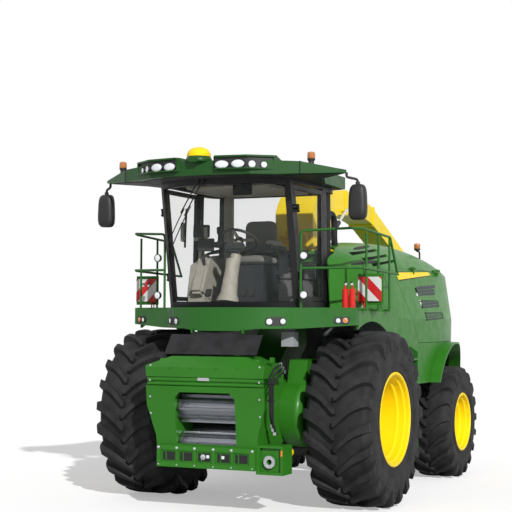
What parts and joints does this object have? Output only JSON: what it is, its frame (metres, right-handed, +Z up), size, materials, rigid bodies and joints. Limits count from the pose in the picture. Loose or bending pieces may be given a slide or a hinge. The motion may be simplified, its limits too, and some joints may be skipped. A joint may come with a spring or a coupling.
{
  "type": "forage harvester",
  "caption": "Self-propelled forage harvester without a header: feed rolls, cutter housing, glazed cab, rear hood, steered rear wheels and a turning, lifting discharge spout.",
  "frame": {"origin": "on the ground under the middle of the whole machine's length and width", "axes": "+X to the machine's left, +Y to its tail, +Z up; its feed housing points to -Y"},
  "size_m": [3.341, 7.1098, 3.913],
  "materials": {
    "body_green": "gloss paint",
    "roof_green": "gloss",
    "rim_yellow": "gloss paint",
    "frame_grey": "satin paint",
    "cab_black": "satin paint",
    "rail_black": "satin paint",
    "black_plastic": "matt",
    "seat_grey": "woven cloth",
    "trim_grey": "matt",
    "tyre_black": "matt rubber",
    "window_glass": "clear",
    "lamp_clear": "clear lens",
    "amber": "clear amber",
    "roll_steel": "worn",
    "rod_chrome": "polished",
    "engine_grey": "painted",
    "board_red": "reflective",
    "bottle_red": "gloss paint",
    "valve_grey": "satin paint",
    "hose_rubber": "matt"
  },
  "bodies": {
    "chassis": {"air_hose": "hose_rubber", "beacons": "amber", "cab_frame": "cab_black", "cab_glass": "window_glass", "cab_roof": "roof_green", "controls": "trim_grey", "crop_duct": "body_green", "cutter_covers": "body_green", "cutter_housing": "body_green", "deck": "frame_grey", "engine": "engine_grey", "fascia": "body_green", "fire_extinguishers": "bottle_red", "frame": "frame_grey", "front_axle": "frame_grey", "gps_receiver": "rim_yellow", "handrails": "rail_black", "hood": "body_green", "lamps": "lamp_clear", "mirrors": "black_plastic", "rear_axle": "frame_grey", "rear_fenders": "body_green", "seat_cushions": "seat_grey", "seat_frame": "frame_grey", "side_shells": "body_green", "valve_box": "valve_grey", "warning_boards": "board_red"},
    "feed_housing": {"feed_housing": "body_green", "header_beam": "frame_grey", "drive_shaft": "cab_black"},
    "apron": {"apron": "frame_grey"},
    "roll_upper_front": {"feed_roll_upper_front": "roll_steel"},
    "roll_upper_rear": {"feed_roll_upper_rear": "roll_steel"},
    "roll_lower_front": {"feed_roll_lower_front": "roll_steel"},
    "roll_lower_rear": {"feed_roll_lower_rear": "roll_steel"},
    "lift_barrels": {"lift_barrels": "frame_grey"},
    "lift_rods": {"lift_rods": "rod_chrome"},
    "front_wheel_left": {"front_tyre_left": "tyre_black", "front_rim_left": "rim_yellow"},
    "front_wheel_right": {"front_tyre_right": "tyre_black", "front_rim_right": "rim_yellow"},
    "rear_wheel_left": {"rear_tyre_left": "tyre_black", "rear_rim_left": "rim_yellow"},
    "rear_wheel_right": {"rear_tyre_right": "tyre_black", "rear_rim_right": "rim_yellow"},
    "knuckle_left": {"knuckle_left": "frame_grey"},
    "knuckle_right": {"knuckle_right": "frame_grey"},
    "steering_rod": {"steering_rod": "rod_chrome"},
    "cab_door_left": {"cab_door_left": "cab_black", "cab_door_glass_left": "window_glass"},
    "cab_door_right": {"cab_door_right": "cab_black", "cab_door_glass_right": "window_glass"},
    "hood_door_left": {"hood_door_left": "body_green"},
    "hood_door_right": {"hood_door_right": "body_green"},
    "spout_turret": {"spout_turret": "body_green"},
    "spout_arm": {"spout_arm": "rim_yellow"},
    "spout_flap": {"spout_flap": "rim_yellow"},
    "spout_barrel": {"spout_barrel": "frame_grey"},
    "spout_rod": {"spout_rod": "rod_chrome"}
  },
  "joints": [
    {"name": "front_wheel_left", "type": "hinge", "parent": "chassis", "child": "front_wheel_left", "pos_m": [1.292, -1.83991, 0.98], "axis": [1, 0, 0], "continuous": true},
    {"name": "front_wheel_right", "type": "hinge", "parent": "chassis", "child": "front_wheel_right", "pos_m": [-1.292, -1.83991, 0.98], "axis": [1, 0, 0], "continuous": true},
    {"name": "steer_left", "type": "hinge", "parent": "chassis", "child": "knuckle_left", "pos_m": [0.8, 1.39309, 0.735], "axis": [0, 0, 1], "range_deg": [-45, 45]},
    {"name": "rear_wheel_left", "type": "hinge", "parent": "knuckle_left", "child": "rear_wheel_left", "pos_m": [1.187, 1.39309, 0.735], "axis": [1, 0, 0], "continuous": true},
    {"name": "steer_right", "type": "hinge", "parent": "chassis", "child": "knuckle_right", "pos_m": [-0.8, 1.39309, 0.735], "axis": [0, 0, 1], "range_deg": [-45, 45]},
    {"name": "rear_wheel_right", "type": "hinge", "parent": "knuckle_right", "child": "rear_wheel_right", "pos_m": [-1.187, 1.39309, 0.735], "axis": [1, 0, 0], "continuous": true},
    {"name": "steering_rod", "type": "slide", "parent": "chassis", "child": "steering_rod", "axis": [1, 0, 0], "range_m": [-0.145, 0.145]},
    {"name": "cab_door_left", "type": "hinge", "parent": "chassis", "child": "cab_door_left", "pos_m": [0.838, -2.56342, 2.56], "axis": [0, 0.1931, -0.9812], "range_deg": [0, 55]},
    {"name": "cab_door_right", "type": "hinge", "parent": "chassis", "child": "cab_door_right", "pos_m": [-0.838, -2.56342, 2.56], "axis": [0, -0.1931, 0.9812], "range_deg": [0, 55]},
    {"name": "hood_door_left", "type": "hinge", "parent": "chassis", "child": "hood_door_left", "pos_m": [1.236, 0.56009, 2.738], "axis": [0, -1, 0], "range_deg": [0, 90]},
    {"name": "hood_door_right", "type": "hinge", "parent": "chassis", "child": "hood_door_right", "pos_m": [-1.236, 0.56009, 2.738], "axis": [0, 1, 0], "range_deg": [0, 90]},
    {"name": "feed_lift", "type": "hinge", "parent": "chassis", "child": "feed_housing", "pos_m": [0, -2.28991, 1.05], "axis": [-1, 0, 0], "range_deg": [-8, 18]},
    {"name": "apron", "type": "hinge", "parent": "chassis", "child": "apron", "pos_m": [0, -2.97491, 1.934], "axis": [-1, 0, 0], "range_deg": [-16.5, 36.5]},
    {"name": "roll_upper_front", "type": "hinge", "parent": "feed_housing", "child": "roll_upper_front", "pos_m": [0, -3.03991, 1.115], "axis": [1, 0, 0], "continuous": true},
    {"name": "roll_upper_rear", "type": "hinge", "parent": "feed_housing", "child": "roll_upper_rear", "pos_m": [0, -2.73791, 1.14], "axis": [1, 0, 0], "continuous": true},
    {"name": "roll_lower_front", "type": "hinge", "parent": "feed_housing", "child": "roll_lower_front", "pos_m": [0, -3.02491, 0.74], "axis": [1, 0, 0], "continuous": true},
    {"name": "roll_lower_rear", "type": "hinge", "parent": "feed_housing", "child": "roll_lower_rear", "pos_m": [0, -2.71991, 0.83], "axis": [1, 0, 0], "continuous": true},
    {"name": "lift_barrels", "type": "hinge", "parent": "chassis", "child": "lift_barrels", "pos_m": [0, -1.96991, 0.65], "axis": [-1, 0, 0], "range_deg": [-5.92, 12.68]},
    {"name": "lift_rods", "type": "slide", "parent": "lift_barrels", "child": "lift_rods", "axis": [0, -0.9968, -0.0804], "range_m": [-0.0582, 0.1284]},
    {"name": "spout_turn", "type": "hinge", "parent": "chassis", "child": "spout_turret", "pos_m": [0, -0.58991, 2.93], "axis": [0, 0, 1], "range_deg": [-105, 105]},
    {"name": "spout_lift", "type": "hinge", "parent": "spout_turret", "child": "spout_arm", "pos_m": [0, -0.91791, 3.118], "axis": [1, 0, 0], "range_deg": [0, 35]},
    {"name": "spout_flap", "type": "hinge", "parent": "spout_arm", "child": "spout_flap", "pos_m": [0, 3.10036, 2.9016], "axis": [-1, 0, 0], "range_deg": [0, 60]},
    {"name": "spout_barrel", "type": "hinge", "parent": "spout_turret", "child": "spout_barrel", "pos_m": [0.3, -0.54991, 3.06], "axis": [1, 0, 0], "range_deg": [-0.5, 43.24]},
    {"name": "spout_rod", "type": "slide", "parent": "spout_barrel", "child": "spout_rod", "axis": [0, 0.8321, 0.5547], "range_m": [-0.002, 0.1945]}
  ],
  "couplings": [
    {"joint": "steer_right", "follows": "steer_left", "ratio": 1},
    {"joint": "steering_rod", "follows": "steer_left", "m_per_rad": -0.18006},
    {"joint": "roll_upper_rear", "follows": "roll_upper_front", "ratio": 1.1594},
    {"joint": "roll_lower_front", "follows": "roll_upper_front", "ratio": -1.3115},
    {"joint": "roll_lower_rear", "follows": "roll_upper_front", "ratio": -1.6},
    {"joint": "apron", "follows": "feed_lift", "ratio": 2},
    {"joint": "lift_barrels", "follows": "feed_lift", "ratio": 0.67689},
    {"joint": "lift_rods", "follows": "feed_lift", "m_per_rad": 0.4022},
    {"joint": "spout_barrel", "follows": "spout_lift", "ratio": 1.2211},
    {"joint": "spout_rod", "follows": "spout_lift", "m_per_rad": 0.31514}
  ]
}
